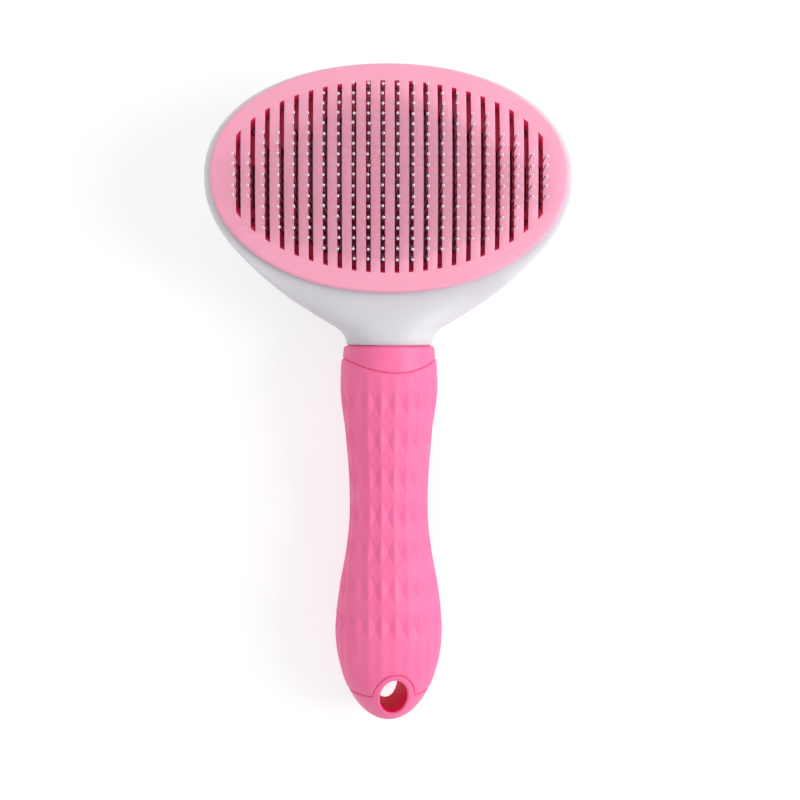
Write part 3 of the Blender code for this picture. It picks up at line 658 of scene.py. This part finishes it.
def hole_cutter(steps=96):
    """A tube through the tail whose two ends flare to round the hole's edges."""
    angle = np.linspace(0, 2 * math.pi, steps, endpoint=False)
    soft = 0.9

    def surface(x, z):
        radius = handle_radius(np.clip(z, 0, HANDLE_LENGTH - 0.01))
        return HANDLE_FLATNESS * np.sqrt(np.clip(radius**2 - x**2, 0.0, None))

    def ring(grow, rise, side):
        x = (HOLE_RADIUS + grow) * np.cos(angle)
        z = HOLE_PLACE + (HOLE_RADIUS * HOLE_STRETCH + grow) * np.sin(angle)
        level = surface((HOLE_RADIUS + 0.5 * soft) * np.cos(angle),
                        HOLE_PLACE + (HOLE_RADIUS * HOLE_STRETCH + 0.5 * soft) * np.sin(angle))
        return np.stack([x, side * (level + rise), z], -1)

    turns = [math.radians(a) for a in (0, 20, 40, 60, 75)]
    flare = [(soft * (1 - math.cos(t)), soft * (math.sin(t) - 1)) for t in turns]
    flare += [(soft * 1.0, 0.05), (soft * 1.4, 3.0)]
    rings = [ring(grow, rise, -1) for grow, rise in reversed(flare)]
    rings += [ring(grow, rise, 1) for grow, rise in flare]
    cutter = grid_object("hole", np.array(rings), cap_start=True, cap_end=True)
    matrix = handle_matrix()
    matrix.translation *= MM
    cutter.data.transform(matrix)
    tidy_normals(cutter.data)
    return cutter


def make_core():
    angle = np.linspace(0, 2 * math.pi, 200, endpoint=False)
    seam, tail = collar_seam(angle) - 0.15, tail_seam(angle) + 0.15
    rows = [(-0.22, 12.3), (-0.22, 12.6), (0, 12.6), (0, 12.8), (0.06, 13.05), (0.2, 13.2)]
    rows += [(mix(0.5, seam - 0.3, k / 14), None) for k in range(15)]
    rows += [(seam - 0.08, -0.1), (seam, -0.5), (seam + 0.22, -0.5), (seam + 0.24, CORE_RADIUS),
             (tail - 0.24, CORE_RADIUS), (tail - 0.22, -0.5), (tail, -0.5), (tail + 0.08, -0.1)]
    span = HANDLE_LENGTH - (tail + 0.3)
    rows += [(tail + 0.3 + span * math.sin(math.pi / 2 * k / 26), None) for k in range(26)]
    rows.append((HANDLE_LENGTH - 0.02 + 0 * span, None))
    points = []
    for at, radius in rows:
        at = at + 0 * angle
        outer = handle_radius(at)
        if radius is not None:
            outer = outer + radius if radius < 0 else np.full_like(angle, radius)
        points.append(handle_points(at, angle, outer))
    core = grid_object("visual_handle_core", np.array(points), cap_start=True, cap_end=True)
    boolean(core, hole_cutter(), "DIFFERENCE")
    paint(shade(core, 40), HANDLE_PINK, HOLE_WALL_PAINTED_SHADE_AND_GLOW)
    inverse = np.linalg.inv(np.array(handle_matrix()))
    # Faces on the hole's wall take the painted shade and glow.
    for face in core.data.polygons:
        x, y, z, _ = inverse @ np.array([*(face.center / MM), 1])
        near = math.hypot(x / HOLE_RADIUS, (z - HOLE_PLACE) / (HOLE_RADIUS * HOLE_STRETCH))
        if near < 1.02 and z > 95:
            face.material_index = 1
    return place(core, "brush", ["handle_core"], "handle_plastic")


# ---------------------------------------------------------------- button

def make_button():
    steps = 120
    angle = np.linspace(0, 2 * math.pi, steps, endpoint=False)
    rings = []

    def ring(a, b, z, power=BUTTON_POWER):
        x, y = superoval(angle, (a, b), power)
        rings.append(np.stack([x, y + HEAD_Y, np.full(steps, z)], -1))

    for k in range(1, 13):  # the thumb's dish
        share = k / 12
        ring(15 * share, 9.5 * share, 0.8 * (1 - ease(0.55, 1, share)), 2.0)
    ring(15.4, 9.9, 0)
    for k in range(9):
        t = math.pi / 2 * k / 8
        inset = 1.8 * (1 - math.sin(t))
        ring(BUTTON_A - inset, BUTTON_B - inset, 1.8 * (1 - math.cos(t)))
    for inset, z in ((0, 12.4), (-2, 12.5), (-2, 14.5), (2, 14.5), (2, 2.2)):
        ring(BUTTON_A - inset, BUTTON_B - inset, z)
    button = grid_object("visual_push_button", np.array(rings), cap_start=True, cap_end=True)
    paint(shade(button, 40), HANDLE_PINK)
    return place(button, "ejector", ["push_button"], "handle_plastic")


def make_spring():
    """A compression spring with a closed turn at each end, built at the height of the CAD spring."""
    bottom, top = (corner.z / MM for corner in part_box("return_spring"))
    low, high = bottom + SPRING_WIRE / 2, top - SPRING_WIRE / 2
    close = SPRING_WIRE * 1.15
    turn = np.linspace(0, SPRING_TURNS + 2, (SPRING_TURNS + 2) * 28 + 1)
    rise = (close * np.minimum(turn, 1) + close * np.maximum(turn - 1 - SPRING_TURNS, 0)
            + (high - low - 2 * close) * np.clip(turn - 1, 0, SPRING_TURNS) / SPRING_TURNS)
    angle = 2 * math.pi * turn
    outward = np.stack([np.cos(angle), np.sin(angle), 0 * angle], -1)
    centre = outward * SPRING_RADIUS + np.stack([0 * angle, HEAD_Y + 0 * angle, low + rise], -1)
    tangent = np.gradient(centre, axis=0)
    tangent /= np.linalg.norm(tangent, axis=1, keepdims=True)
    upward = np.cross(tangent, outward)
    round_wire = np.linspace(0, 2 * math.pi, 12, endpoint=False)[None, :, None]
    points = centre[:, None] + SPRING_WIRE / 2 * (
        np.cos(round_wire) * outward[:, None] + np.sin(round_wire) * upward[:, None])
    spring = grid_object("visual_return_spring", points, cap_start=True, cap_end=True)
    place(paint(shade(spring, 50), BRIGHT_STEEL), "brush", ["return_spring"], "steel")
    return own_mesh(spring)


# ---------------------------------------------------------------- studio

FLOOR_HALF, FLOOR_GLOW, SKY_STRENGTH = 6, 0.62, 0.68
LAMPS = (("key", (0.55, 0.0, 0.46), 0.35, 3.1),  # name, place, size and power
         ("fill", (-0.2, 0.5, 1.0), 0.8, 1.5))
CAMERA_AT, CAMERA_AIM = Vector((-0.00556, 0.0026, 0.361)), Vector((0.00293, -0.00033, 0.039))
CAMERA_LENS = 49.5


def make_studio():
    floor_mesh = bpy.data.meshes.new("floor")
    corners = [(x * FLOOR_HALF, y * FLOOR_HALF, 0) for x, y in ((-1, -1), (1, -1), (1, 1), (-1, 1))]
    floor_mesh.from_pydata(corners, [], [(0, 1, 2, 3)])
    floor = add_object("floor", floor_mesh)
    m = Nodes("floor_white")
    mottle = m.between(m.noise(30, 2), 0, 1)
    m.set(Base_Color=m.blend(mottle, (0.42, 0.42, 0.42), (0.4, 0.4, 0.4)), Roughness=0.9)
    m.set(Specular_IOR_Level=0.1, Emission_Strength=FLOOR_GLOW, Emission_Color=(1, 1, 1, 1))
    paint(floor, m.material)

    world = bpy.data.worlds.new("studio")
    world.use_nodes = True
    world.node_tree.nodes["Background"].inputs["Color"].default_value = (1, 1, 1, 1)
    world.node_tree.nodes["Background"].inputs["Strength"].default_value = SKY_STRENGTH
    bpy.context.scene.world = world
    for name, at, size, power in LAMPS:
        light = bpy.data.lights.new(name, "AREA")
        light.size, light.energy = size, power
        lamp = bpy.data.objects.new(name, light)
        lamp.location = at
        lamp.rotation_euler = (Vector((0, 0, 0.02)) - Vector(at)).to_track_quat("-Z", "Y").to_euler()
        bpy.context.scene.collection.objects.link(lamp)

    camera = bpy.data.objects.new("camera", bpy.data.cameras.new("camera"))
    camera.location = CAMERA_AT
    back = (camera.location - CAMERA_AIM).normalized()
    right = Vector((0, 1, 0)).cross(back).normalized()
    camera.rotation_euler = Matrix((right, back.cross(right), back)).transposed().to_euler()
    camera.data.lens = CAMERA_LENS
    camera.data.clip_start, camera.data.clip_end = 0.01, 20
    bpy.context.scene.collection.objects.link(camera)
    bpy.context.scene.camera = camera
    bpy.context.scene.view_settings.view_transform = "Standard"


make_shell()
make_plate()
for pin_column in range(COLUMNS):
    make_pin_row(pin_column)
make_grip()
make_core()
make_button()
make_spring()
for node, material in (("pin_bed", BED_RED), ("bed_keeper", BED_RED), ("carrier", WHITE),
                       *((f"bed_screw_{k}", SCREW_PAINTED_SLOT_LIGHT) for k in range(1, 5)),
                       *((f"carrier_screw_{k}", BRIGHT_STEEL) for k in range(1, 3))):
    paint(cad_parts[node], material)
make_studio()
